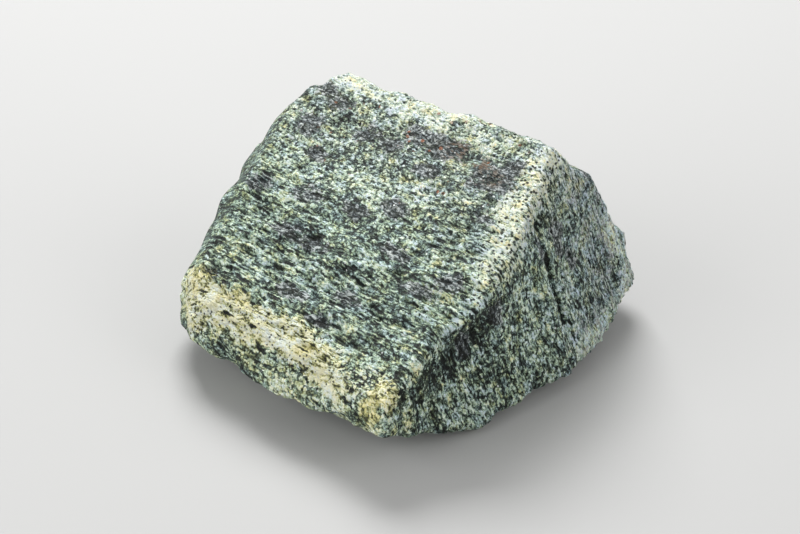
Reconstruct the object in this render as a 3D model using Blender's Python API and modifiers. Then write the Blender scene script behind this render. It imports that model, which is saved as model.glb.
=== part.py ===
"""Serpentine rock: a broken chunk of green serpentinite lying on a small flat foot.

The chunk is one solid. A block is split along the fracture faces of the stone,
shallow hollows are taken out of it, and its skin is then worked: bulges and chips
at named places, lumps, and low ledges that follow the layering of the stone.
X runs along the longest side, Y towards the back and Z up, with the origin on
the ground under the middle of the chunk.
"""
from math import cos, pi, radians, sin

import bmesh
import bpy
from mathutils import Matrix, Vector, noise

MM = 0.001
NAME = "serpentine_rock"

# Corners of the chunk before it is worked, in millimetres
LEFT_SHOULDER = (-28.1, -0.3, 11.9)
RIDGE_TOP = (19.5, 1.6, 31.3)
RIDGE_BACK = (19.7, 1.9, 31.7)
LEFT_CREST = (-20.2, 13.0, 20.4)
LEFT_FLANK = (-24.5, 17.2, 14.6)
LEFT_NOSE = (-28.9, 2.5, 6.5)
FRONT_LIP = (-12.9, -18.7, 6.5)
FRONT_RIGHT_LIP = (5.0, -21.0, 3.6)
RIGHT_LIP = (20.0, -7.7, 1.9)
RIGHT_BULGE = (28.1, 9.1, 20.1)
TIP = (31.5, 12.6, 7.0)
TIP_LIP = (31.5, 11.0, 3.2)
BACK_FACE = (-7.0, 27.4, 20.1)
BACK_CORNER = (14.0, 23.5, 12.0)
BACK_LIP = (0.0, 27.5, 6.0)
BACK_RIGHT_LIP = (20.2, 20.2, 3.7)
LEFT_LIP = (-29.2, 3.0, 5.0)
FOOT_LEFT = (-9.0, 4.0, 0.0)
FOOT_BACK = (2.0, 14.0, 0.0)
FOOT_FRONT = (0.0, -5.0, 0.0)
FOOT_RIGHT = (13.0, 4.0, 0.0)
FOOT_DEPTH = (0.0, 0.0, -1.5)

# Fracture faces: a point of the face, and the heading and tilt in degrees that it looks
# to, counted from +X towards +Y and up from level
FRACTURES = {
    "top": (LEFT_SHOULDER, 225, 61),
    "front left": (FRONT_LIP, 226, 23),
    "front right": (FRONT_RIGHT_LIP, -50, 0),
    "right": (RIDGE_TOP, -29, 12.5),
    "back right, upper": (RIDGE_BACK, 51, 43),
    "back right, lower": (RIGHT_BULGE, 48, 25),
    "right tip": (TIP, 12, 4),
    "left bevel": (LEFT_CREST, 176, 37.5),
    "left flank": (LEFT_FLANK, 162, 6),
    "left nose": (LEFT_NOSE, 188, 8),
    "back": (BACK_FACE, 102, 7),
    "back corner": (BACK_CORNER, 68, 3),
    "under the front left": (FRONT_LIP, 231, -59),
    "under the front right": (FRONT_RIGHT_LIP, -86, -62),
    "under the right": (RIGHT_LIP, -43, -68),
    "under the tip": (TIP_LIP, 18, -66),
    "under the back right": (BACK_RIGHT_LIP, 45, -71),
    "under the back": (BACK_LIP, 95, -58),
    "under the left": (LEFT_LIP, 178, -60),
    "left of the foot": (FOOT_LEFT, 185, -80),
    "behind the foot": (FOOT_BACK, 95, -80),
    "before the foot": (FOOT_FRONT, 235, -80),
    "right of the foot": (FOOT_RIGHT, -20, -83),
    "bottom": (FOOT_DEPTH, 0, -90),
}
BLOCK_SIZE = 120.0

# Shallow hollows left by flakes: a point of the face, its heading and tilt, width, depth
HOLLOWS = {
    "under the ridge": ((7.5, -19.0, 11.0), -50, 0, 21.0, 1.6),
    "below the waist": ((16.0, -11.0, 13.0), -42, 6, 15.0, 0.9),
    "right face": ((26.0, 1.0, 12.0), -29, 12.5, 15.0, 0.6),
    "left flank": ((-25.5, 13.0, 12.0), 158, 8, 18.0, 1.0),
    "back": ((0.0, 27.3, 17.0), 98, 8, 24.0, 1.3),
    "back right": ((19.0, 16.5, 18.0), 50, 30, 22.0, 1.1),
}
HOLLOW_SEGMENTS = 96

# Bulges and chips: a place, how far the push reaches, and the push
PUSHES = {
    "foot of the front corner": ((-0.8, -26.0, 6.0), 3.4, (0.3, 0.3, 0.5)),
    "lip nick beside the corner": ((-4.4, -26.4, 7.2), 3.0, (0.5, 0.5, 0.5)),
    "ridge lobe": ((8.4, -18.6, 18.6), 4.2, (0.9, -0.8, -0.3)),
    "ridge nick under the lobe": ((4.8, -20.5, 16.9), 3.0, (-0.4, 0.4, -0.1)),
    "ridge nick over the lobe": ((12.0, -14.5, 22.0), 3.0, (-0.6, 0.4, 0.0)),
    "right shoulder": ((26.6, 9.4, 18.8), 3.2, (0.4, 0.1, 0.2)),
    "right crest nick": ((22.3, 6.8, 26.3), 3.4, (-0.3, -0.3, -0.4)),
    "right bulge": ((31.0, 12.4, 8.5), 4.0, (-0.4, 0.0, 0.0)),
    "back edge notch": ((-1.4, 21.0, 30.1), 3.8, (-0.3, -0.5, -0.5)),
    "back edge nick": ((6.6, 13.6, 30.7), 3.6, (-0.4, -0.5, -0.6)),
    "back peak": ((-8.6, 25.2, 29.0), 3.2, (-0.2, 0.6, 0.6)),
    "left crest nick": ((-14.2, 24.0, 26.6), 3.0, (0.2, -0.3, -0.3)),
    "left flank nick": ((-19.0, 24.4, 21.0), 3.2, (0.3, -0.1, -0.3)),
    "left flank swell": ((-23.6, 14.6, 16.0), 4.0, (-0.4, 0.1, 0.2)),
    "left shoulder": ((-27.8, -1.6, 11.5), 4.2, (0.7, 0.6, -0.2)),
    "lip nick, left": ((-22.4, -9.3, 6.0), 3.4, (0.7, 0.7, 0.6)),
    "lip bump": ((-16.0, -16.2, 5.7), 4.4, (-0.6, -0.7, -0.3)),
    "lip bump, middle": ((-11.2, -18.6, 5.3), 2.8, (-0.3, -0.5, -0.4)),
    "lip nick, middle": ((-7.6, -23.0, 6.8), 2.8, (0.4, 0.6, 0.6)),
    "lip bump, right": ((14.8, -12.2, 2.4), 3.2, (0.4, -0.6, -0.3)),
    "tip": ((31.6, 12.4, 4.2), 3.6, (0.4, 0.1, -0.2)),
    "tip nick": ((30.0, 8.4, 3.0), 3.2, (-0.4, 0.1, 0.2)),
}

# Crack down the right face, bend by bend from the top: a place and the depth there
CRACK = (
    ((16.8, -3.9, 27.0), 0.3),
    ((17.3, -5.1, 22.5), 0.9),
    ((18.4, -5.2, 18.4), 0.6),
    ((20.1, -4.9, 13.3), 0.9),
    ((21.9, -4.3, 8.3), 0.8),
    ((23.0, -3.6, 4.5), 0.3),
)
CRACK_WIDTH = 1.5

# Skin: lumps of two sizes, and ledges along the layers, whose normal is given
LARGE_LUMP = 11.0
LARGE_LUMP_HEIGHT = 0.7
SMALL_LUMP = 4.0
SMALL_LUMP_HEIGHT = 0.38
LAYER_HEADING = 47
LAYER_TILT = 15
LAYER_SPACING = 3.2
LAYER_LENGTH = 16.0
LEDGE_HEIGHT = 0.42
SKIN_SHIFT = (3.7, -1.9, 5.3)

# What lies this little above the ground belongs to the flat foot
FOOT_PLAY = 0.06

# Fineness of the skin
VOXEL = 0.6
WORN_PASSES = 3
TRIANGLES = 9600

STONE_GREEN = (0.19, 0.23, 0.19, 1.0)
STONE_ROUGHNESS = 0.72


def direction(heading, tilt):
    """The unit vector towards a heading and a tilt in degrees."""
    level = cos(radians(tilt))
    return Vector((level * cos(radians(heading)), level * sin(radians(heading)),
                   sin(radians(tilt))))


def new_object(name, mesh, collection):
    """An object for a mesh, placed at the origin in a collection."""
    obj = bpy.data.objects.new(name, mesh)
    collection.objects.link(obj)
    return obj


def new_collection(name):
    """A collection of the scene."""
    collection = bpy.data.collections.new(name)
    bpy.context.scene.collection.children.link(collection)
    return collection


def split(bm, point, normal):
    """Cut a closed solid at a plane, drop what lies outside and close the cut."""
    geometry = bm.verts[:] + bm.edges[:] + bm.faces[:]
    bmesh.ops.bisect_plane(bm, geom=geometry, plane_co=point, plane_no=normal,
                           clear_outer=True, dist=1e-7)
    rim = [edge for edge in bm.edges if edge.is_boundary]
    if rim:
        bmesh.ops.holes_fill(bm, edges=rim)


def fractured_block():
    """A block split along every fracture face."""
    bm = bmesh.new()
    bmesh.ops.create_cube(bm, size=BLOCK_SIZE * MM)
    for point, heading, tilt in FRACTURES.values():
        split(bm, Vector(point) * MM, direction(heading, tilt))
    bmesh.ops.recalc_face_normals(bm, faces=bm.faces)
    mesh = bpy.data.meshes.new(NAME)
    bm.to_mesh(mesh)
    bm.free()
    return mesh


def flake(name, point, heading, tilt, width, depth, collection):
    """A ball that takes a hollow of a width and a depth out of a face."""
    radius = (width * width / 4 + depth * depth) / (2 * depth)
    centre = Vector(point) + direction(heading, tilt) * (radius - depth)
    bm = bmesh.new()
    bmesh.ops.create_uvsphere(bm, u_segments=HOLLOW_SEGMENTS, v_segments=HOLLOW_SEGMENTS // 2,
                              radius=radius * MM, matrix=Matrix.Translation(centre * MM))
    mesh = bpy.data.meshes.new(name)
    bm.to_mesh(mesh)
    bm.free()
    cutter = new_object(name, mesh, collection)
    cutter.hide_render = True
    cutter.display_type = "WIRE"
    return cutter


def bake(obj):
    """Replace an object's mesh and modifiers by what they make together."""
    graph = bpy.context.evaluated_depsgraph_get()
    baked = bpy.data.meshes.new_from_object(obj.evaluated_get(graph))
    obj.modifiers.clear()
    obj.data = baked


def falloff(distance, reach):
    """A soft weight: 1 at the place, 0 at the reach and beyond."""
    if distance >= reach:
        return 0.0
    return (1 + cos(pi * distance / reach)) / 2


def crack_depth(point):
    """How deep the crack is at a place, in millimetres."""
    depths = [0.0]
    for (start, start_depth), (end, end_depth) in zip(CRACK, CRACK[1:]):
        along = Vector(end) - Vector(start)
        offset = point - Vector(start)
        share = min(1.0, max(0.0, offset.dot(along) / along.length_squared))
        depth = start_depth + (end_depth - start_depth) * share
        depths.append(depth * falloff((offset - along * share).length, CRACK_WIDTH))
    return max(depths)


def skin_height(point, layers):
    """Height of the lumps and ledges of the skin over a place, in millimetres."""
    place = point + Vector(SKIN_SHIFT)
    lumps = LARGE_LUMP_HEIGHT * noise.noise(place / LARGE_LUMP)
    lumps += SMALL_LUMP_HEIGHT * noise.noise(place / SMALL_LUMP)
    layered = layers @ place
    across = Vector((layered.x / LAYER_LENGTH, layered.y / LAYER_LENGTH,
                     layered.z / LAYER_SPACING))
    ledges = LEDGE_HEIGHT * noise.noise(across)
    return lumps + ledges


def work_skin(mesh):
    """Push the bulges and chips, open the crack, raise the lumps and press the foot flat."""
    layers = direction(LAYER_HEADING, LAYER_TILT).to_track_quat("Z", "Y").to_matrix().inverted()
    bm = bmesh.new()
    bm.from_mesh(mesh)
    bm.normal_update()
    for vert in bm.verts:
        point = vert.co / MM
        move = Vector()
        for spot, reach, push in PUSHES.values():
            move += Vector(push) * falloff((point - Vector(spot)).length, reach)
        height = skin_height(point, layers) - crack_depth(point)
        place = point + move + vert.normal * height
        place.z = max(place.z, 0.0)
        vert.co = place * MM
    bm.to_mesh(mesh)
    bm.free()


def settle(mesh):
    """Lay the flat foot on the ground and set the origin under the middle."""
    bm = bmesh.new()
    bm.from_mesh(mesh)
    for vert in bm.verts:
        if vert.co.z < FOOT_PLAY * MM:
            vert.co.z = 0.0
    bmesh.ops.triangulate(bm, faces=bm.faces)
    across = [vert.co.x for vert in bm.verts]
    deep = [vert.co.y for vert in bm.verts]
    middle = Vector((min(across) + max(across), min(deep) + max(deep), 0)) / 2
    bmesh.ops.translate(bm, verts=bm.verts, vec=-middle)
    bm.to_mesh(mesh)
    bm.free()


def stone_material():
    """Matt grey-green stone."""
    material = bpy.data.materials.new("serpentinite")
    material.use_nodes = True
    shader = material.node_tree.nodes["Principled BSDF"]
    shader.inputs["Base Color"].default_value = STONE_GREEN
    shader.inputs["Roughness"].default_value = STONE_ROUGHNESS
    shader.inputs["Metallic"].default_value = 0.0
    material.diffuse_color = STONE_GREEN
    return material


def build():
    """Model the chunk."""
    for obj in list(bpy.data.objects):
        bpy.data.objects.remove(obj)
    parts = new_collection("serpentine_rock_parts")
    cutters = new_collection("cutters")

    rock = new_object(NAME, fractured_block(), parts)
    for name, hollow in HOLLOWS.items():
        cutter = flake("hollow, " + name, *hollow, cutters)
        cut = rock.modifiers.new("hollow, " + name, "BOOLEAN")
        cut.operation = "DIFFERENCE"
        cut.object = cutter
    remesh = rock.modifiers.new("even skin", "REMESH")
    remesh.mode = "VOXEL"
    remesh.voxel_size = VOXEL * MM
    worn = rock.modifiers.new("worn edges", "SMOOTH")
    worn.iterations = WORN_PASSES
    bake(rock)

    work_skin(rock.data)
    thin = rock.modifiers.new("thin out", "DECIMATE")
    thin.ratio = TRIANGLES / sum(len(face.vertices) - 2 for face in rock.data.polygons)
    bake(rock)
    settle(rock.data)
    rock.data.materials.append(stone_material())


build()
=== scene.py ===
"""Serpentine rock: the skin, the stone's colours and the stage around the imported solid."""

from math import cos, radians, sin
from types import SimpleNamespace

import bpy
import numpy as np
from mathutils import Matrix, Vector, noise


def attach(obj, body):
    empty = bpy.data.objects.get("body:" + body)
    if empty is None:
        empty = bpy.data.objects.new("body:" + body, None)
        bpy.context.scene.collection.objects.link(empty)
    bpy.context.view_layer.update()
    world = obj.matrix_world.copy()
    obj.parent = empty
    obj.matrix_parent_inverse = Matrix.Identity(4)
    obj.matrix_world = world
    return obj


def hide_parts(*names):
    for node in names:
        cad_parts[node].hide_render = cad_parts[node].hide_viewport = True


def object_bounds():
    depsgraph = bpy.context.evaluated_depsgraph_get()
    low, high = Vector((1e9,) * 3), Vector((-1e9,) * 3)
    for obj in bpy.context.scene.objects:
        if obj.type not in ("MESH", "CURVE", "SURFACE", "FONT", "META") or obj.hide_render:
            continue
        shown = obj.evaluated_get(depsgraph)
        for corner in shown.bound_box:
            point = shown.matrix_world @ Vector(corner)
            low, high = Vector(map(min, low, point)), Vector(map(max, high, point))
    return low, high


bl_info = {
    "name": "Serpentine Rock",
    "version": (1, 0, 0),
    "blender": (4, 5, 0),
    "location": "View3D > Sidebar > Rock",
    "description": "Dresses a broken chunk of serpentinite and sets the stage for it",
    "category": "Add Mesh",
}

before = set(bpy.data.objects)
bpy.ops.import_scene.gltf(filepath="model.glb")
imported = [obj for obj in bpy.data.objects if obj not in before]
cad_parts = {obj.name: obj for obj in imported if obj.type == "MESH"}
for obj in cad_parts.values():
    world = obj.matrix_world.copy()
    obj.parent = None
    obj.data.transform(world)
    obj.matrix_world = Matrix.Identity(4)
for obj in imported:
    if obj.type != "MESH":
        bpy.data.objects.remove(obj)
CAD_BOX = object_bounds()

MM = 0.001
NODE = "serpentine_rock"
SKIN = "rock_skin"

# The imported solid's vertices that are nearer than this, in metres, are merged in the skin
WELD = 0.01 * MM

# The weights of a vertex group are rounded to this many steps
WEIGHT_STEPS = 20

# The layers of the stone: where their normal looks, in degrees from +X and up from level
LAYER_HEADING = 47.0
LAYER_TILT = 15.0

# Broad swells and hollows of the left side, in millimetres: a place, the reach and the height
SWELLS = (
    ((-24.4, 12.6, 15.0), 5.5, 0.8),
    ((-20.8, 23.2, 18.6), 4.5, -0.5),
)

# Patches of the stone, in millimetres: a place, the reach along the layers and across them
SLATE_PATCHES = (
    ((-13.2, 6.8, 21.4), 3.4, 1.6),
    ((-7.2, 1.7, 22.0), 2.6, 1.3),
    ((-2.0, 0.0, 23.1), 3.0, 1.3),
    ((1.2, 10.1, 28.3), 3.2, 1.6),
    ((-5.2, 13.2, 26.8), 2.6, 1.6),
    ((-2.3, 9.9, 26.9), 2.4, 1.4),
    ((4.6, 7.2, 28.2), 4.2, 2.1),
    ((10.2, -0.2, 27.5), 4.4, 2.2),
    ((13.2, 0.4, 29.1), 1.8, 1.5),
    ((9.0, -5.4, 25.0), 2.4, 1.2),
    ((-12.6, -1.3, 18.8), 3.4, 1.5),
    ((-15.9, 2.0, 18.8), 3.0, 1.4),
    ((4.9, -13.6, 20.8), 2.8, 1.3),
    ((2.3, 3.9, 26.5), 2.4, 1.2),
    ((-11.7, -12.4, 14.4), 2.6, 1.1),
    ((-26.3, -0.2, 13.4), 2.4, 1.2),
    ((-7.8, -11.0, 16.3), 2.8, 1.2),
    ((-15.4, -7.1, 15.0), 3.0, 1.2),
    ((-19.8, 11.5, 20.6), 2.4, 1.6),
    ((-2.1, -6.5, 20.7), 2.6, 1.2),
    ((0.5, -12.9, 18.9), 3.0, 1.2),
    ((-9.3, 20.1, 27.9), 2.6, 1.6),
    ((-10.8, 22.5, 28.2), 2.4, 1.4),
    ((-12.6, 13.5, 23.8), 2.4, 1.1),
    ((-13.0, 18.5, 25.2), 2.4, 2.0),
    ((18.7, -2.6, 20.5), 4.0, 1.6),
    ((16.2, -6.8, 21.3), 2.0, 1.2),
    ((20.9, -0.1, 15.8), 2.0, 1.2),
    ((10.6, -15.1, 17.1), 2.8, 1.2),
    ((6.4, -17.1, 14.1), 3.0, 1.2),
)
PALE_PATCHES = (
    ((-10.2, -0.5, 20.0), 1.8, 1.1),
    ((-8.8, 6.5, 22.9), 2.4, 1.3),
    ((-4.6, -6.9, 19.7), 2.2, 1.1),
    ((-0.3, -6.4, 21.1), 2.2, 1.1),
    ((0.7, 2.1, 25.0), 2.2, 1.1),
    ((-16.3, 9.9, 21.1), 2.6, 1.2),
    ((-21.0, 0.5, 15.8), 2.6, 1.2),
    ((-4.7, 3.0, 23.3), 2.0, 1.1),
    ((-14.3, -3.2, 16.9), 2.2, 1.1),
    ((-8.0, -15.2, 14.7), 2.2, 1.1),
    ((4.3, 10.6, 29.6), 2.6, 1.4),
    ((-3.8, 15.2, 28.4), 3.2, 2.0),
    ((-4.0, 7.8, 25.6), 2.4, 1.2),
    ((-7.4, 23.2, 29.9), 2.0, 1.6),
    ((2.2, -8.6, 21.2), 2.2, 1.0),
    ((-0.7, -22.8, 14.9), 2.4, 1.3),
    ((5.0, -18.9, 18.0), 2.0, 1.2),
    ((27.1, 9.3, 14.7), 3.6, 1.8),
    ((29.1, 9.0, 5.8), 2.4, 1.5),
    ((17.4, -7.4, 13.6), 4.2, 2.8),
    ((20.5, -4.5, 10.0), 3.8, 2.4),
    ((-14.0, -17.0, 10.0), 2.4, 1.6),
    ((-9.8, -21.4, 9.8), 2.6, 1.6),
    ((10.2, -15.9, 4.0), 2.4, 1.4),
)
GREEN_GAPS = (
    ((-30.4, 0.8, 6.6), 2.6, 2.0),
    ((-20.0, -12.3, 8.6), 2.8, 1.7),
    ((-23.3, -9.0, 8.9), 2.4, 1.5),
    ((-12.6, -19.4, 8.3), 2.0, 1.4),
    ((-6.0, -25.9, 8.3), 1.6, 1.2),
)
GOLDEN_PATCHES = (
    ((-27.5, 0.1, 12.7), 4.0, 2.2),
    ((-22.2, -5.4, 12.7), 3.4, 1.6),
    ((-12.6, -16.4, 12.0), 2.6, 1.2),
    ((-3.0, -26.0, 12.2), 2.8, 2.2),
    ((-5.5, -26.5, 10.0), 2.2, 1.4),
)
BROWN_PATCHES = (
    ((6.0, 6.0, 28.3), 2.6, 1.8),
    ((8.5, 3.0, 28.3), 3.0, 1.6),
    ((10.3, -0.1, 27.5), 1.8, 1.2),
)
RIBBED_PATCHES = (
    ((-20.0, -2.0, 14.5), 16.0, 9.0),
    ((-8.0, -12.0, 15.5), 14.0, 7.5),
    ((3.0, -15.0, 19.0), 9.0, 6.0),
    ((8.0, -9.0, 23.5), 7.0, 4.5),
    ((-20.0, 10.0, 20.0), 12.0, 5.0),
)
RUSTY_PATCHES = (
    ((1.0, 9.0, 28.0), 15.0, 9.0),
)

# How strongly the right face is ribbed, all over
RIGHT_RIBS = 0.48

# Where a patch or band begins and where it is full, in parts of its reach
PATCH_EDGE = (1.4, 0.5)

# The stray of their outlines: the size of its waves in millimetres, and their height
COARSE_STRAY = (2.4, 0.35)
FINE_STRAY = (1.0, 0.3)

# How far apart the noises of two seeds are taken, counted in their cells
SEED_SHIFT = Vector((17.3, -9.1, 5.7))

# Bands along the broken edges, in millimetres: the bends of a line and the reach around it
CREAM_BAND = ((-27.6, -3.6, 8.8), (-28.9, 0.8, 10.6), (-27.0, -2.6, 11.4), (-23.5, -6.6, 11.4),
              (-20.0, -9.6, 11.8), (-16.8, -11.9, 12.0), (-13.3, -15.9, 12.0),
              (-10.2, -20.0, 10.9), (-7.6, -22.8, 11.0), (-4.6, -25.1, 12.3),
              (-2.2, -26.0, 12.0))
CREAM_REACH = 2.7
MOSSY_REACH = 7.0
# Painted shade: a dark strip on the right face, under the overhang of the ridge
PAINTED_SHADE_BAND = ((12.6, -12.6, 21.5), (10.8, -15.4, 19.1), (8.9, -16.0, 16.3), (6.4, -17.0, 13.5),
              (3.6, -19.3, 11.6), (1.4, -22.3, 10.6))
PAINTED_SHADE_REACH = 2.4
DUSKY_BAND = ((-20.4, 6.0, 18.2), (-8.4, -1.9, 19.6), (-2.5, -12.0, 18.2), (-1.2, -20.5, 15.6))
DUSKY_REACH = 4.5
RIDGE_BAND = ((17.2, -0.6, 30.0), (15.9, -2.6, 28.8), (14.4, -4.2, 27.4), (13.2, -6.2, 26.2),
              (12.7, -8.2, 24.8), (12.2, -10.2, 23.6), (11.2, -13.0, 22.3), (9.6, -16.0, 21.0))
RIDGE_REACH = 2.5
# The back rim, made paler as a painted highlight where the light from behind grazes it
RIM_BAND = ((-8.9, 24.6, 29.3), (-4.5, 21.5, 29.7), (-0.7, 17.6, 29.7), (4.6, 12.9, 29.9),
            (8.4, 9.1, 30.0), (12.2, 5.9, 30.0), (16.7, 1.6, 30.5))
RIM_REACH = 2.8
EDGE_BAND = ((10.2, -15.2, 21.3), (7.5, -18.5, 19.2), (5.2, -19.4, 17.2), (3.4, -20.3, 15.4),
             (-1.2, -25.3, 12.8))
EDGE_REACH = 0.7
# The rim of the right end, made paler as a painted highlight
FAR_RIM_BAND = ((22.6, 12.0, 21.0), (26.7, 8.2, 14.2), (29.1, 10.5, 8.6), (29.6, 9.7, 4.6),
                (26.5, 3.0, 3.6), (23.0, -2.9, 4.0))
FAR_RIM_REACH = 2.0
STAIN_BAND = ((15.9, -2.6, 29.0), (15.8, -4.5, 27.1), (15.0, -7.2, 25.0))
STAIN_REACH = 1.3
# The crack down the right face: sunk into the skin, and darkened inside as painted shade
CRACK = ((15.8, -5.2, 24.3), (16.2, -5.3, 23.0), (16.7, -5.7, 21.2), (17.3, -5.4, 18.8),
         (17.9, -5.0, 16.4), (18.7, -4.8, 13.5), (19.6, -4.3, 9.8), (20.1, -4.2, 8.6))
CRACK_REACH = 0.36

# The sides of the stone: how far a normal looks to them where they begin and are full
LEFT_FACES = (0.45, 0.7)
RIGHT_FACES = (0.2, 0.6)
FRONT_FACES = (0.3, 0.75)

# How much longer the relief is along the layers than its own size, and how flat the lumps are
LEDGE_STRETCH = 5.0
RIB_STRETCH = 4.5
GRAIN_STRETCH = 1.3
LUMP_FLATNESS = 0.8

# Where a zone begins and where it is full, in millimetres above the ground
LOOSE_HEIGHTS = (0.02, 0.7)
LEFT_HEIGHTS = (9.0, 13.0)
FRONT_HEIGHTS = (13.0, 10.5)
# The low zone darkens the stone towards the ground: painted shade
LOW_HEIGHTS = (14.0, 2.0)
UPPER_HEIGHTS = (19.0, 27.0)

# The same along X: the far end, the duller part of the cream band, the fading painted highlight of
# the back rim
FAR_PLACES = (17.0, 25.0)
DULL_PLACES = (-14.0, -6.0)
FADING_PLACES = (5.0, 10.0)

# Grains, clouds and streaks of the stone, in metres: a size along the layers and across them
LARGE_GRAINS = (0.48 * MM, 0.36 * MM)
SMALL_GRAINS = (0.24 * MM, 0.19 * MM)
DARK_SPECKS = (0.62 * MM, 0.56 * MM)
RUST_SPECKS = (1.2 * MM, 1.0 * MM)
GRIT = (0.7 * MM, 0.45 * MM)
FLAKES = (0.8 * MM, 0.45 * MM)
STREAKS = (2.2 * MM, 0.32 * MM)
THREADS = (2.8 * MM, 0.52 * MM)
MOTTLES = (5.0 * MM, 2.2 * MM)
HUES = (2.0 * MM, 1.2 * MM)
WANDER_REACH = 0.14 * MM
WANDER_SIZE = 0.6 * MM
BUMP_DEPTH = 0.6 * MM

# The usual distance from a grain's middle, counted in grains
MIDDLE_GAP = 0.45

# How glossy the stone is, as its specular level
GLOSS = 0.3

# Ramps from dark to pale: a place from 0 to 1, and the name of the colour there
GREEN_RAMP = ((0.02, "pit"), (0.22, "slate"), (0.40, "shade"), (0.54, "moss"), (0.70, "mint"),
              (1.00, "crest"))
SLATY_RAMP = ((0.05, "pit"), (0.30, "dusk"), (0.55, "flint"), (1.00, "pearl"))
WEATHERED_RAMP = ((0.05, "pit"), (0.39, "olive"), (0.60, "cream"), (0.80, "butter"),
                  (0.95, "ivory"))
TINT_RAMP = ((0.33, "tan"), (0.44, "lime"), (0.51, "lime"), (0.63, "ice"))

# How much each zone adds to the tone of the stone, and to its contrast. The crack and the parts
# near the ground are darkened as painted shade; so is the strip under the ridge, whose zone also
# darkens the green gaps and a band across the top.
ZONE_TONES = {"crack": -0.5, "low": -0.06, "shaded": -0.36, "pale": 0.15, "far": 0.1,
              "front": 0.07, "upper": 0.02, "left": -0.09, "golden": -0.05}
ZONE_GAINS = {"ridge": 0.35, "cream": 0.7, "left": -0.3, "right": 0.2}


def rgb(name, default, description):
    """A colour that a user may change."""
    return bpy.props.FloatVectorProperty(name=name, description=description, default=default,
                                         subtype="COLOR", size=3, min=0.0, max=1.0)


def length(name, default, description):
    """A size in metres that a user may change."""
    return bpy.props.FloatProperty(name=name, description=description, default=default,
                                   subtype="DISTANCE", unit="LENGTH", min=0.0)


class RockForm(bpy.types.PropertyGroup):
    cell: length("Skin cell", 0.33 * MM, "Side of the small faces that the skin is made of")
    worn: bpy.props.IntProperty(name="Worn", description="Passes that round the broken edges",
                                default=4, min=0)
    rubbed: bpy.props.IntProperty(name="Rubbed", description="Passes that even out the left side",
                                  default=60, min=0)
    ledge: length("Ledges", 0.55 * MM, "Height of the broad ledges along the layers")
    ledge_gap: length("Ledge spacing", 2.0 * MM, "Distance from one ledge to the next")
    rib: length("Ribs", 1.25 * MM, "Height of the fine ribs along the layers")
    rib_gap: length("Rib spacing", 0.75 * MM, "Distance from one rib to the next")
    lump: length("Lumps", 0.5 * MM, "Height of the lumps all over")
    lump_size: length("Lump size", 1.3 * MM, "Width of a lump")
    grain: length("Grain", 0.25 * MM, "Height of the single grains")
    grain_size: length("Grain size", 0.5 * MM, "Width of a grain")
    crack: length("Crack", 0.5 * MM, "Depth of the crack down the right face")


class RockColours(bpy.types.PropertyGroup):
    pit: rgb("Pit", (0.007, 0.010, 0.009), "Deepest gaps between the grains")
    slate: rgb("Slate", (0.028, 0.041, 0.036), "Dark grains")
    shade: rgb("Shade", (0.107, 0.141, 0.130), "Dark green-grey between the grains")
    moss: rgb("Moss", (0.260, 0.335, 0.285), "Middle green")
    mint: rgb("Mint", (0.500, 0.625, 0.530), "Pale green grains")
    # Crest, the palest stop, is the palest grains and also the painted highlights on the rib crests
    # and the painted glints
    crest: rgb("Crest", (0.940, 1.000, 0.980), "Palest grains, along the ribs")
    olive: rgb("Olive", (0.225, 0.235, 0.105), "Dark gaps of the weathered bands")
    cream: rgb("Cream", (0.590, 0.590, 0.330), "Weathered bands along the breaks")
    butter: rgb("Butter", (0.890, 0.885, 0.620), "Pale weathered grains")
    ivory: rgb("Ivory", (1.000, 1.000, 0.920), "Palest weathered grains")
    gold: rgb("Gold", (1.00, 0.95, 0.82), "Golden tint of some of the weathered bands")
    brown: rgb("Brown", (0.200, 0.135, 0.085), "Rusty brown in the dark patches")
    rust: rgb("Rust", (0.400, 0.150, 0.070), "Small rust specks")
    tan: rgb("Tan", (1.00, 0.92, 0.56), "Warmest tint of some of the green")
    lime: rgb("Lime", (0.94, 1.00, 0.86), "Warm tint of most of the green")
    ice: rgb("Ice", (0.83, 0.92, 1.00), "Cool tint of some of the green")
    blush: rgb("Blush", (1.00, 0.94, 0.95), "Tint of the upper end")
    straw: rgb("Straw", (1.00, 0.98, 0.72), "Yellow tint of some of the cream")
    chalk: rgb("Chalk", (0.92, 0.99, 0.98), "White tint of some of the cream")
    dusk: rgb("Dusk", (0.038, 0.044, 0.049), "Deep grey of the dark patches")
    flint: rgb("Flint", (0.130, 0.146, 0.160), "Blue-grey grains of the dark patches")
    pearl: rgb("Pearl", (0.580, 0.630, 0.630), "Pale grains of the dark patches")
    # Painted bluish light: a blue tint multiplied into the colour of the right end
    painted_blue_light: rgb("Haze", (0.89, 0.88, 1.00), "Blue tint of the right end")


class StageLook(bpy.types.PropertyGroup):
    floor: rgb("Floor", (0.46, 0.46, 0.455), "Colour of the floor")
    key: bpy.props.FloatProperty(name="Key light", description="Power of the light behind",
                                 default=4.0, min=0.0, subtype="POWER", unit="POWER")
    fill: bpy.props.FloatProperty(name="Fill light", description="Power of the light at the left",
                                  default=2.3, min=0.0, subtype="POWER", unit="POWER")
    side: bpy.props.FloatProperty(name="Side light", description="Power of the light at the right",
                                  default=1.35, min=0.0, subtype="POWER", unit="POWER")
    sky: bpy.props.FloatProperty(name="Room light", description="Strength of the even light",
                                 default=0.38, min=0.0)
    lens: bpy.props.FloatProperty(name="Lens", description="Focal length of the camera",
                                  default=112.5, min=1.0, subtype="DISTANCE_CAMERA")


def settings():
    """The add-on's own settings."""
    return bpy.context.scene.rock_form, bpy.context.scene.rock_colours, bpy.context.scene.stage_look


def direction(heading, tilt):
    """The unit vector towards a heading and a tilt in degrees."""
    level = cos(radians(tilt))
    return Vector((level * cos(radians(heading)), level * sin(radians(heading)),
                   sin(radians(tilt))))


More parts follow.
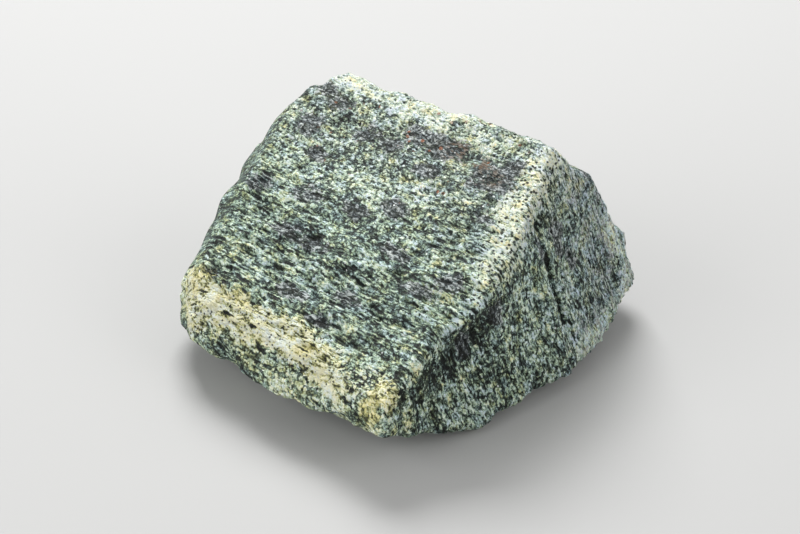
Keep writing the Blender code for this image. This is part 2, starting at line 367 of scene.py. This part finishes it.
def layer_turn():
    """The turn that takes Z to the normal of the layers."""
    return direction(LAYER_HEADING, LAYER_TILT).to_track_quat("Z", "Y")


def select_only(obj):
    """Select one object and make it active."""
    bpy.ops.object.select_all(action="DESELECT")
    obj.select_set(True)
    bpy.context.view_layer.objects.active = obj


def finish_with(obj, kind, values):
    """Add a modifier with its values and apply it."""
    modifier = obj.modifiers.new(kind.lower(), kind)
    for key, value in values.items():
        setattr(modifier, key, value)
    select_only(obj)
    bpy.ops.object.modifier_apply(modifier=modifier.name)


def places(mesh):
    """The places of a mesh's vertices, in millimetres."""
    flat = np.empty(len(mesh.vertices) * 3)
    mesh.vertices.foreach_get("co", flat)
    return flat.reshape(-1, 3) / MM


def directions(mesh):
    """The outward normals of a mesh's vertices."""
    flat = np.empty(len(mesh.vertices) * 3)
    mesh.vertices.foreach_get("normal", flat)
    return flat.reshape(-1, 3)


def smooth_step(low, high, value):
    """0 at low and below, 1 at high and above, and a soft rise between them."""
    share = np.clip((value - low) / (high - low), 0.0, 1.0)
    return share * share * (3 - 2 * share)


def speckle(points, size, seed):
    """Soft noise over points, about -1 to 1, with lumps of a size in millimetres."""
    shift = seed * SEED_SHIFT
    return np.array([noise.noise(Vector(point) / size + shift) for point in points])


def patched(layered, ragged, patches):
    """How far each point is inside any of the patches, 0 to 1."""
    turn = np.array(layer_turn().to_matrix())
    inside = np.zeros(len(layered))
    for centre, along, across in patches:
        offset = layered - np.array(centre) @ turn
        reach = np.sqrt((offset[:, 0] ** 2 + offset[:, 1] ** 2) / along ** 2
                        + offset[:, 2] ** 2 / across ** 2)
        inside = np.maximum(inside, smooth_step(*PATCH_EDGE, reach + ragged))
    return inside


def banded(points, ragged, line, reach):
    """How near each point is to a bent line, 1 on the line and 0 out of its reach."""
    nearest = np.full(len(points), np.inf)
    for start, end in zip(np.array(line), np.array(line[1:])):
        along = end - start
        share = np.clip((points - start) @ along / (along @ along), 0.0, 1.0)
        offset = points - start - share[:, None] * along
        nearest = np.minimum(nearest, np.linalg.norm(offset, axis=1))
    return smooth_step(*PATCH_EDGE, nearest / reach + ragged)


def keep(mesh, name, values):
    """Store one number for each vertex, for the material to read."""
    attribute = mesh.attributes.new(name, "FLOAT", "POINT")
    attribute.data.foreach_set("value", values.astype(np.float32))


def vertex_group(obj, name, weights):
    """A vertex group with a weight for each vertex."""
    group = obj.vertex_groups.new(name=name)
    steps = np.round(weights * WEIGHT_STEPS).astype(int)
    for step in range(1, WEIGHT_STEPS + 1):
        group.add(np.flatnonzero(steps == step).tolist(), step / WEIGHT_STEPS, "REPLACE")


def raise_relief(obj, name, scale, height, group, depth=1):
    """Displace the skin with a cloud pattern stretched along the layers."""
    bpy.ops.object.empty_add(type="PLAIN_AXES")
    guide = bpy.context.object
    guide.rotation_mode = "QUATERNION"
    guide.rotation_quaternion = layer_turn()
    guide.scale = scale
    pattern = bpy.data.textures.new(name, "CLOUDS")
    pattern.noise_scale = 1.0
    pattern.noise_depth = depth
    pattern.noise_type = "SOFT_NOISE"
    bpy.context.view_layer.update()
    finish_with(obj, "DISPLACE", {
        "texture": pattern,
        "texture_coords": "OBJECT",
        "texture_coords_object": guide,
        "direction": "NORMAL",
        "mid_level": 0.5,
        "strength": height,
        "vertex_group": group,
    })
    bpy.data.objects.remove(guide)
    bpy.data.textures.remove(pattern)


def rough_skin():
    """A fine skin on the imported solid, rounded where it is worn."""
    form = settings()[0]
    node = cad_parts[NODE]
    skin = bpy.data.objects.new(SKIN, node.data.copy())
    bpy.context.scene.collection.objects.link(skin)
    skin.data.materials.clear()
    select_only(skin)
    bpy.ops.object.mode_set(mode="EDIT")
    bpy.ops.mesh.select_all(action="SELECT")
    bpy.ops.mesh.remove_doubles(threshold=WELD)
    bpy.ops.object.mode_set(mode="OBJECT")
    finish_with(skin, "REMESH", {"mode": "VOXEL", "voxel_size": form.cell})
    finish_with(skin, "SMOOTH", {"iterations": form.worn, "factor": 0.5})
    return skin


def keep_inside(mesh):
    """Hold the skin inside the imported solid's box and flat on the ground."""
    low, high = (np.array(corner) for corner in CAD_BOX)
    points = np.clip(places(mesh) * MM, low, high)
    mesh.vertices.foreach_set("co", points.ravel())
    mesh.update()


def stone_zones(points, normals):
    """The stone's zones by name: how far each point is inside each of them, 0 to 1."""
    layered = points @ np.array(layer_turn().to_matrix())
    coarse_size, coarse = COARSE_STRAY
    fine_size, fine = FINE_STRAY
    ragged = coarse * speckle(points, coarse_size, 1) + fine * speckle(points, fine_size, 2)
    x = points[:, 0]
    z = points[:, 2]
    towards_front = -(normals[:, 0] + normals[:, 1]) / 2 ** 0.5
    towards_right = 0.8 * normals[:, 0] - 0.6 * normals[:, 1]
    right = smooth_step(*RIGHT_FACES, towards_right)
    # The back and right rims are paler: painted highlight, fading along X on the back rim
    fading = 1.0 - 0.45 * smooth_step(*FADING_PLACES, x)
    rim = fading * banded(points, ragged, RIM_BAND, RIM_REACH)
    far_rim = banded(points, ragged, FAR_RIM_BAND, FAR_RIM_REACH)
    ridge = banded(points, ragged, RIDGE_BAND, RIDGE_REACH)
    edge = banded(points, ragged, EDGE_BAND, EDGE_REACH)
    gaps = patched(layered, ragged, GREEN_GAPS)
    duller = 1.0 - 0.6 * smooth_step(*DULL_PLACES, x)
    cream = duller * (1.0 - 0.5 * gaps) * banded(points, ragged, CREAM_BAND, CREAM_REACH)
    # Painted shade under the overhang of the ridge
    shade = banded(points, ragged, PAINTED_SHADE_BAND, PAINTED_SHADE_REACH)
    dusky = banded(points, ragged, DUSKY_BAND, DUSKY_REACH)
    return {
        "ribbed": np.maximum(patched(layered, ragged, RIBBED_PATCHES), RIGHT_RIBS * right),
        # The crack: sunk into the skin, and darkened by the material as painted shade
        "crack": banded(points, 0.5 * ragged, CRACK, CRACK_REACH),
        "slate": patched(layered, ragged, SLATE_PATCHES),
        "pale": patched(layered, ragged, PALE_PATCHES),
        "golden": patched(layered, ragged, GOLDEN_PATCHES),
        "brown": patched(layered, ragged, BROWN_PATCHES),
        "rusty": patched(layered, ragged, RUSTY_PATCHES),
        # Both rims, for their painted highlight and a little cream
        "rim": np.maximum(rim, far_rim),
        "ridge": np.maximum(ridge, 0.6 * edge),
        "cream": cream,
        "mossy": banded(points, ragged, CREAM_BAND, MOSSY_REACH),
        # Painted shade under the ridge, with the darker green gaps of the cream band and a darker
        # band across the top
        "shaded": np.maximum(shade, np.maximum(0.4 * gaps, 0.23 * dusky)),
        "stain": banded(points, ragged, STAIN_BAND, STAIN_REACH),
        "front": smooth_step(*FRONT_FACES, towards_front) * smooth_step(*FRONT_HEIGHTS, z),
        "left": smooth_step(*LEFT_FACES, -normals[:, 0]) * smooth_step(*LEFT_HEIGHTS, z),
        "right": right,
        # The far end: paler and more slaty, and tinted by the painted bluish light
        "far": smooth_step(*FAR_PLACES, x + 3 * ragged),
        # Darker towards the ground: painted shade
        "low": smooth_step(*LOW_HEIGHTS, z),
        "upper": smooth_step(*UPPER_HEIGHTS, z + 3 * ragged),
    }


def raise_layers(skin):
    """The ledges and ribs along the layers, then the lumps and grains all over."""
    form = settings()[0]
    across = form.ledge_gap
    along = LEDGE_STRETCH * across
    raise_relief(skin, "ledges", (along, along, across), form.ledge, "loose", depth=2)
    across = form.rib_gap
    along = RIB_STRETCH * across
    raise_relief(skin, "ribs", (along, along, across), form.rib, "ribbed", depth=2)
    along = form.lump_size
    across = LUMP_FLATNESS * along
    raise_relief(skin, "lumps", (along, along, across), form.lump, "loose", depth=2)
    across = form.grain_size
    along = GRAIN_STRETCH * across
    raise_relief(skin, "grains", (along, along, across), form.grain, "loose")


def move_out(mesh, points, normals, crack):
    """Swell the left side and sink the crack, along the normals that the skin began with."""
    raised = -settings()[0].crack / MM * crack
    for centre, reach, swell in SWELLS:
        away = np.linalg.norm(points - np.array(centre), axis=1)
        raised = raised + swell * smooth_step(reach, 0.0, away)
    moved = places(mesh) + raised[:, None] * normals
    mesh.vertices.foreach_set("co", (moved * MM).ravel())


def shape_skin():
    """The stone's skin with its relief, and its zones for the material to read."""
    skin = rough_skin()
    mesh = skin.data
    points = places(mesh)
    normals = directions(mesh)
    zones = stone_zones(points, normals)
    left = zones["left"]
    loose = smooth_step(*LOOSE_HEIGHTS, points[:, 2])
    vertex_group(skin, "loose", loose * (1.0 - 0.85 * left))
    vertex_group(skin, "ribbed", loose * (1.0 - left) * (0.2 + 0.8 * zones["ribbed"]))
    raise_layers(skin)
    # How far the relief raised each point; the material darkens the hollows with it as painted
    # shade
    zones["height"] = np.einsum("ij,ij->i", places(mesh) - points, normals)
    move_out(mesh, points, normals, zones["crack"])
    keep_inside(mesh)
    vertex_group(skin, "left", left)
    finish_with(skin, "SMOOTH", {"iterations": settings()[0].rubbed, "factor": 0.5,
                                 "vertex_group": "left"})
    skin.vertex_groups.clear()
    for name, values in zones.items():
        keep(mesh, name, values)
    select_only(skin)
    bpy.ops.object.shade_smooth()
    return skin


class Number:
    """A number that varies over a surface; sums with it add nodes to its material."""

    def __init__(self, wires, socket):
        self.wires = wires
        self.socket = socket

    def maths(self, operation, *values):
        node = self.wires.node("ShaderNodeMath", {"operation": operation},
                               dict(enumerate(values)))
        return Number(self.wires, node.outputs[0])

    def __add__(self, other):
        return self.maths("ADD", self, other)

    def __radd__(self, other):
        return self.maths("ADD", other, self)

    def __sub__(self, other):
        return self.maths("SUBTRACT", self, other)

    def __rsub__(self, other):
        return self.maths("SUBTRACT", other, self)

    def __mul__(self, other):
        return self.maths("MULTIPLY", self, other)

    def __rmul__(self, other):
        return self.maths("MULTIPLY", other, self)

    def maximum(self, other):
        return self.maths("MAXIMUM", self, other)

    def size(self):
        return self.maths("ABSOLUTE", self)

    def between(self, low, high):
        """0 at low, 1 at high, with a soft rise between them."""
        node = self.wires.node("ShaderNodeMapRange", {"interpolation_type": "SMOOTHSTEP"},
                               {"Value": self, "From Min": low, "From Max": high})
        return Number(self.wires, node.outputs["Result"])


class Wires:
    """A material's nodes, added one by one."""

    def __init__(self, name):
        self.material = bpy.data.materials.new(name)
        self.material.use_nodes = True
        self.tree = self.material.node_tree
        self.shader = self.tree.nodes["Principled BSDF"]

    def link(self, value, socket):
        """Set a socket to a value, or wire it to a number, colour or other output."""
        value = value.socket if isinstance(value, Number) else value
        if isinstance(value, bpy.types.NodeSocket):
            self.tree.links.new(value, socket)
        else:
            socket.default_value = value

    def node(self, kind, options, values):
        """Any node: its options are set first, and then its sockets."""
        node = self.tree.nodes.new(kind)
        for key, option in options.items():
            setattr(node, key, option)
        for key, value in values.items():
            self.link(value, node.inputs[key])
        return node

    def stored(self, name):
        """A number stored on the mesh."""
        node = self.node("ShaderNodeAttribute", {"attribute_name": name}, {})
        return Number(self, node.outputs["Fac"])

    def wandering(self, reach, size):
        """Places on the stone, in metres, that wander by a reach over a size."""
        place = self.node("ShaderNodeTexCoord", {}, {}).outputs["Object"]
        scaled = self.vector("SCALE", {0: place, "Scale": 1 / size})
        noise_node = self.node("ShaderNodeTexNoise", {},
                               {"Vector": scaled, "Scale": 1.0, "Detail": 1.0})
        centred = self.vector("SUBTRACT", {0: noise_node.outputs["Color"], 1: (0.5, 0.5, 0.5)})
        shifted = self.vector("SCALE", {0: centred, "Scale": 2 * reach})
        return self.vector("ADD", {0: place, 1: shifted})

    def vector(self, operation, values):
        """One step of vector maths."""
        node = self.node("ShaderNodeVectorMath", {"operation": operation}, values)
        return node.outputs["Vector"]

    def stretched(self, place, along, across):
        """A place counted in cells of a size in metres, along the layers and across them."""
        turn = layer_turn().to_euler()
        node = self.node("ShaderNodeMapping", {"vector_type": "TEXTURE"},
                         {"Vector": place, "Rotation": turn, "Scale": (along, along, across)})
        return node.outputs["Vector"]

    def clouds(self, place, along, across, detail=2.0, roughness=0.5):
        """Soft noise in cells of a size in metres, counted from its middle."""
        node = self.node("ShaderNodeTexNoise", {},
                         {"Vector": self.stretched(place, along, across), "Scale": 1.0,
                          "Detail": detail, "Roughness": roughness})
        return Number(self, node.outputs["Fac"]) - 0.5

    def grains(self, place, along, across):
        """Cells of a size in metres: a tone for each, and the distance from its middle."""
        node = self.node("ShaderNodeTexVoronoi", {},
                         {"Vector": self.stretched(place, along, across), "Scale": 1.0})
        return (Number(self, node.outputs["Color"]) - 0.5,
                Number(self, node.outputs["Distance"]))

    def crests(self, place, along, across):
        """Thin winding crests in cells of a size in metres."""
        return 0.1 - self.clouds(place, along, across, detail=1.0).size()

    def mix(self, share, first, second, blend="MIX"):
        """A colour between two others, or their product with the blend MULTIPLY."""
        node = self.node("ShaderNodeMix", {"data_type": "RGBA", "blend_type": blend}, {})
        self.link(share, node.inputs[0])
        self.link(first, node.inputs[6])
        self.link(second, node.inputs[7])
        return node.outputs[2]

    def ramp(self, value, stops):
        """A colour by a value from 0 to 1; the stops give places and colours."""
        node = self.node("ShaderNodeValToRGB", {}, {"Fac": value})
        elements = node.color_ramp.elements
        while len(elements) < len(stops):
            elements.new(0.5)
        for element, (place, colour) in zip(elements, stops):
            element.position = place
            element.color = colour
        return node.outputs["Color"]


def opaque(colour):
    """A colour with its alpha."""
    return (*colour, 1.0)


def stops(ramp):
    """A ramp's places with the colours that it names."""
    colours = settings()[1]
    return [(place, opaque(getattr(colours, name))) for place, name in ramp]


def stored_zones(wires, mesh):
    """The numbers that a mesh stores, by name."""
    names = [attribute.name for attribute in mesh.attributes
             if attribute.data_type == "FLOAT"]
    return SimpleNamespace(**{name: wires.stored(name) for name in names})


def stone_grains(wires):
    """The grains, clouds, crests and streaks that the stone is made of."""
    place = wires.wandering(WANDER_REACH, WANDER_SIZE)
    grains = SimpleNamespace()
    grains.large, grains.large_gap = wires.grains(place, *LARGE_GRAINS)
    grains.small, grains.small_gap = wires.grains(place, *SMALL_GRAINS)
    grains.speck, grains.speck_gap = wires.grains(place, *DARK_SPECKS)
    grains.rust, grains.rust_gap = wires.grains(place, *RUST_SPECKS)
    grains.grit = wires.clouds(place, *GRIT, detail=3.0, roughness=0.6)
    grains.flake = wires.crests(place, *FLAKES)
    grains.streak = wires.clouds(place, *STREAKS, detail=3.0, roughness=0.6)
    grains.thread = wires.crests(place, *THREADS)
    grains.mottle = wires.clouds(place, *MOTTLES)
    grains.hue = wires.clouds(place, *HUES, detail=4.0, roughness=0.65)
    grains.mixed = (0.7 * grains.large + 0.4 * grains.small
                    - 0.3 * (grains.large_gap - MIDDLE_GAP)
                    - 0.25 * (grains.small_gap - MIDDLE_GAP))
    return grains


def stone_tone(zone, grains, lines):
    """How pale the stone is: its texture, stronger in some zones, then the zones' shifts, some of
    them painted shade.
    """
    # The texture uses the same grains, streaks and crests as the bump, so it is paler where the
    # relief stands high and darker in its grooves: partly the grains' own colour, partly painted
    # light and shade. Its share of the height is painted shade in the hollows of the skin.
    texture = ((1.0 - 0.4 * lines + 0.4 * zone.cream) * grains.mixed + 0.8 * grains.grit
               + 0.85 * grains.flake + lines * (1.3 * grains.streak + 1.8 * grains.thread)
               + 0.65 * grains.mottle + 0.12 * zone.height)
    gain = 1.35
    for name, share in ZONE_GAINS.items():
        gain = gain + share * getattr(zone, name)
    tone = 0.5 + gain * texture
    # Each zone's shift; the crack, the strip under the ridge and the parts near the ground are
    # darkened as painted shade
    for name, share in ZONE_TONES.items():
        tone = tone + share * getattr(zone, name)
    return tone


def green_stone(wires, zone, tone, shift):
    """Fresh stone: mint to slate, tinted warm and cool, paler on the rims as painted highlight, and
    blue at the far end as painted bluish light.
    """
    colours = settings()[1]
    # The rims are paler here: painted highlight
    stone = wires.ramp(tone + 0.34 * zone.rim + 0.42 * zone.ridge, stops(GREEN_RAMP))
    stone = wires.mix(1.0, stone, wires.ramp(shift, stops(TINT_RAMP)), "MULTIPLY")
    blushed = wires.mix(1.0, stone, opaque(colours.blush), "MULTIPLY")
    stone = wires.mix(zone.upper, stone, blushed)
    # Painted bluish light over the far end, less on its rim
    painted_blue_lit = wires.mix(1.0, stone, opaque(colours.painted_blue_light), "MULTIPLY")
    return wires.mix(zone.far * (1.0 - 0.7 * zone.rim), stone, painted_blue_lit)


def lay_slate(wires, stone, zone, grains, relief):
    """Blue-grey patches, in their places and a little at the far end."""
    # The slate's tone follows the bump, paler where it stands high: partly the grains' pattern,
    # partly painted light and shade. It is darkened in the crack and under the ridge as painted
    # shade.
    slaty = wires.ramp(0.37 + 1.6 * relief - 0.5 * zone.crack - 0.2 * zone.shaded,
                       stops(SLATY_RAMP))
    dark = ((0.93 * zone.slate).maximum(0.53 * zone.far) + 1.5 * grains.mottle
            + 1.4 * grains.grit + 0.8 * grains.large - 0.1 * zone.front)
    return wires.mix(dark.between(0.5, 0.8) * 0.9, stone, slaty)


def lay_cream(wires, stone, zone, grains, tone, shift):
    """Weathered stone: the cream band, and some of it on the ridge, the rims and the front; on the
    rims it also adds to their painted highlight.
    """
    colours = settings()[1]
    weathered = wires.ramp(0.15 + 0.76 * tone + 0.32 * zone.cream + 0.20 * zone.ridge,
                           stops(WEATHERED_RAMP))
    tint = wires.mix(shift.between(0.34, 0.62), opaque(colours.straw), opaque(colours.chalk))
    weathered = wires.mix(1.0, weathered, tint, "MULTIPLY")
    gilded = wires.mix(1.0, weathered, opaque(colours.gold), "MULTIPLY")
    gilding = 0.9 * zone.golden + grains.mottle + 1.2 * grains.grit
    weathered = wires.mix(gilding.between(0.3, 0.9), weathered, gilded)
    share = zone.cream.maximum(zone.golden * 0.6).maximum(zone.ridge * 0.42)
    # Some cream on the rims: partly weathered colour, partly their painted highlight
    share = share.maximum(zone.front * 0.36).maximum(zone.rim * 0.25)
    share = share + 0.9 * grains.mottle + 0.4 * grains.large + 0.6 * grains.hue
    return wires.mix(share.between(0.3, 0.7), stone, weathered)


def lay_rust(wires, stone, zone, grains):
    """Brown stains along the layers, and small rust specks."""
    colours = settings()[1]
    veins = (grains.streak + 0.4 * grains.large).between(0.0, 0.12)
    stone = wires.mix((zone.brown + 0.4 * zone.stain) * veins * 0.7, stone,
                      opaque(colours.brown))
    rusted = (zone.rusty * (0.25 - grains.rust_gap).between(0.0, 0.05)
              * grains.rust.between(0.14, 0.18))
    return wires.mix(rusted * 0.7, stone, opaque(colours.rust))


def stone_material(mesh):
    """Serpentinite: mint and slate grains, streaks along the layers, weathered bands."""
    colours = settings()[1]
    wires = Wires("serpentinite")
    zone = stored_zones(wires, mesh)
    grains = stone_grains(wires)
    lines = (0.35 + 0.65 * zone.ribbed).maximum(1.7 * zone.cream)
    # The bump's height; the tone and the slate's colour follow it too, partly as painted light and
    # shade
    relief = (0.8 * grains.mixed + 0.8 * grains.grit + grains.flake
              + lines * (1.6 * grains.streak + 2.2 * grains.thread))
    tone = stone_tone(zone, grains, lines)
    shift = 0.5 + 1.15 * grains.hue + 0.22 * grains.small - 0.05 * zone.mossy
    small = (0.27 + 0.1 * zone.ridge - grains.speck_gap).between(0.0, 0.06)
    rarer = grains.speck - 0.3 * zone.ridge - 0.2 * zone.cream
    peppered = small * grains.speck.between(-0.12, -0.08) * rarer.between(0.14, 0.1)
    # Painted glints: tiny white specks in the crest colour
    painted_glints = small * grains.speck.between(0.34, 0.38) * (1.0 - zone.ridge)

    stone = green_stone(wires, zone, tone, shift)
    stone = lay_slate(wires, stone, zone, grains, relief)
    stone = lay_cream(wires, stone, zone, grains, tone, shift)
    stone = lay_rust(wires, stone, zone, grains)
    stone = wires.mix(peppered * 0.9, stone, opaque(colours.pit))
    # The painted glints laid on the colour
    stone = wires.mix(painted_glints * 0.8, stone, opaque(colours.crest))
    wires.link(stone, wires.shader.inputs["Base Color"])
    wires.link(0.78 - 0.25 * (0.6 - tone).between(0.0, 0.4), wires.shader.inputs["Roughness"])
    wires.link(GLOSS, wires.shader.inputs["Specular IOR Level"])
    bump = wires.node("ShaderNodeBump", {}, {"Height": relief - 0.6 * peppered,
                                             "Distance": BUMP_DEPTH, "Strength": 1.0})
    wires.link(bump.outputs["Normal"], wires.shader.inputs["Normal"])
    return wires.material


class ROCK_OT_dress(bpy.types.Operator):
    """Put the broken skin and the stone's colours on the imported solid"""
    bl_idname = "rock.dress"
    bl_label = "Dress the rock"

    def execute(self, context):
        skin = shape_skin()
        skin.data.materials.append(stone_material(skin.data))
        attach(skin, "root")
        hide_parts(NODE)
        return {"FINISHED"}


# Stage, in metres: the camera's place and where it looks, counted from the rock's origin
CAMERA_PLACE = (-0.001335, -0.276645, 0.1872)
CAMERA_TILT = 32.0
NEAREST_SEEN = 0.01
FLOOR_SIZE = 6.0
KEY_PLACE = (-0.06, 0.36, 0.46)
KEY_SIZE = 0.28
FILL_PLACE = (-0.50, -0.30, 0.34)
FILL_SIZE = 0.45
SIDE_PLACE = (0.46, -0.24, 0.30)
SIDE_SIZE = 0.45


def soft_light(name, place, size, power):
    """A square soft light that looks at the rock."""
    bpy.ops.object.light_add(type="AREA", location=place)
    light = bpy.context.object
    light.name = name
    light.data.size = size
    light.data.energy = power
    light.rotation_euler = (-Vector(place)).to_track_quat("-Z", "Y").to_euler()


class ROCK_OT_stage(bpy.types.Operator):
    """Lay the floor and set the lights and the camera"""
    bl_idname = "rock.stage"
    bl_label = "Set the stage"

    def execute(self, context):
        look = settings()[2]
        bpy.ops.mesh.primitive_plane_add(size=FLOOR_SIZE, location=(0.0, 0.0, 0.0))
        floor = bpy.context.object
        floor.name = "floor"
        wires = Wires("floor")
        wires.link(opaque(look.floor), wires.shader.inputs["Base Color"])
        wires.link(0.9, wires.shader.inputs["Roughness"])
        floor.data.materials.append(wires.material)

        soft_light("key", KEY_PLACE, KEY_SIZE, look.key)
        soft_light("fill", FILL_PLACE, FILL_SIZE, look.fill)
        soft_light("side", SIDE_PLACE, SIDE_SIZE, look.side)
        world = bpy.data.worlds.new("room")
        world.use_nodes = True
        room = world.node_tree.nodes["Background"]
        room.inputs["Color"].default_value = (1.0, 1.0, 1.0, 1.0)
        room.inputs["Strength"].default_value = look.sky
        context.scene.world = world
        context.scene.view_settings.view_transform = "Standard"

        bpy.ops.object.camera_add(location=CAMERA_PLACE,
                                  rotation=(radians(90 - CAMERA_TILT), 0.0, 0.0))
        camera = bpy.context.object
        camera.data.lens = look.lens
        camera.data.clip_start = NEAREST_SEEN
        context.scene.camera = camera
        return {"FINISHED"}


class ROCK_PT_panel(bpy.types.Panel):
    """The rock's settings and steps"""
    bl_idname = "ROCK_PT_panel"
    bl_label = "Serpentine Rock"
    bl_space_type = "VIEW_3D"
    bl_region_type = "UI"
    bl_category = "Rock"

    def draw(self, context):
        for group in settings():
            box = self.layout.box()
            for name in group.__annotations__:
                box.prop(group, name)
        self.layout.operator(ROCK_OT_dress.bl_idname)
        self.layout.operator(ROCK_OT_stage.bl_idname)


CLASSES = (RockForm, RockColours, StageLook, ROCK_OT_dress, ROCK_OT_stage, ROCK_PT_panel)


def register():
    for item in CLASSES:
        bpy.utils.register_class(item)
    bpy.types.Scene.rock_form = bpy.props.PointerProperty(type=RockForm)
    bpy.types.Scene.rock_colours = bpy.props.PointerProperty(type=RockColours)
    bpy.types.Scene.stage_look = bpy.props.PointerProperty(type=StageLook)


def unregister():
    del bpy.types.Scene.stage_look
    del bpy.types.Scene.rock_colours
    del bpy.types.Scene.rock_form
    for item in reversed(CLASSES):
        bpy.utils.unregister_class(item)


def main():
    register()
    bpy.ops.rock.dress()
    bpy.ops.rock.stage()


if __name__ == "__main__":
    main()
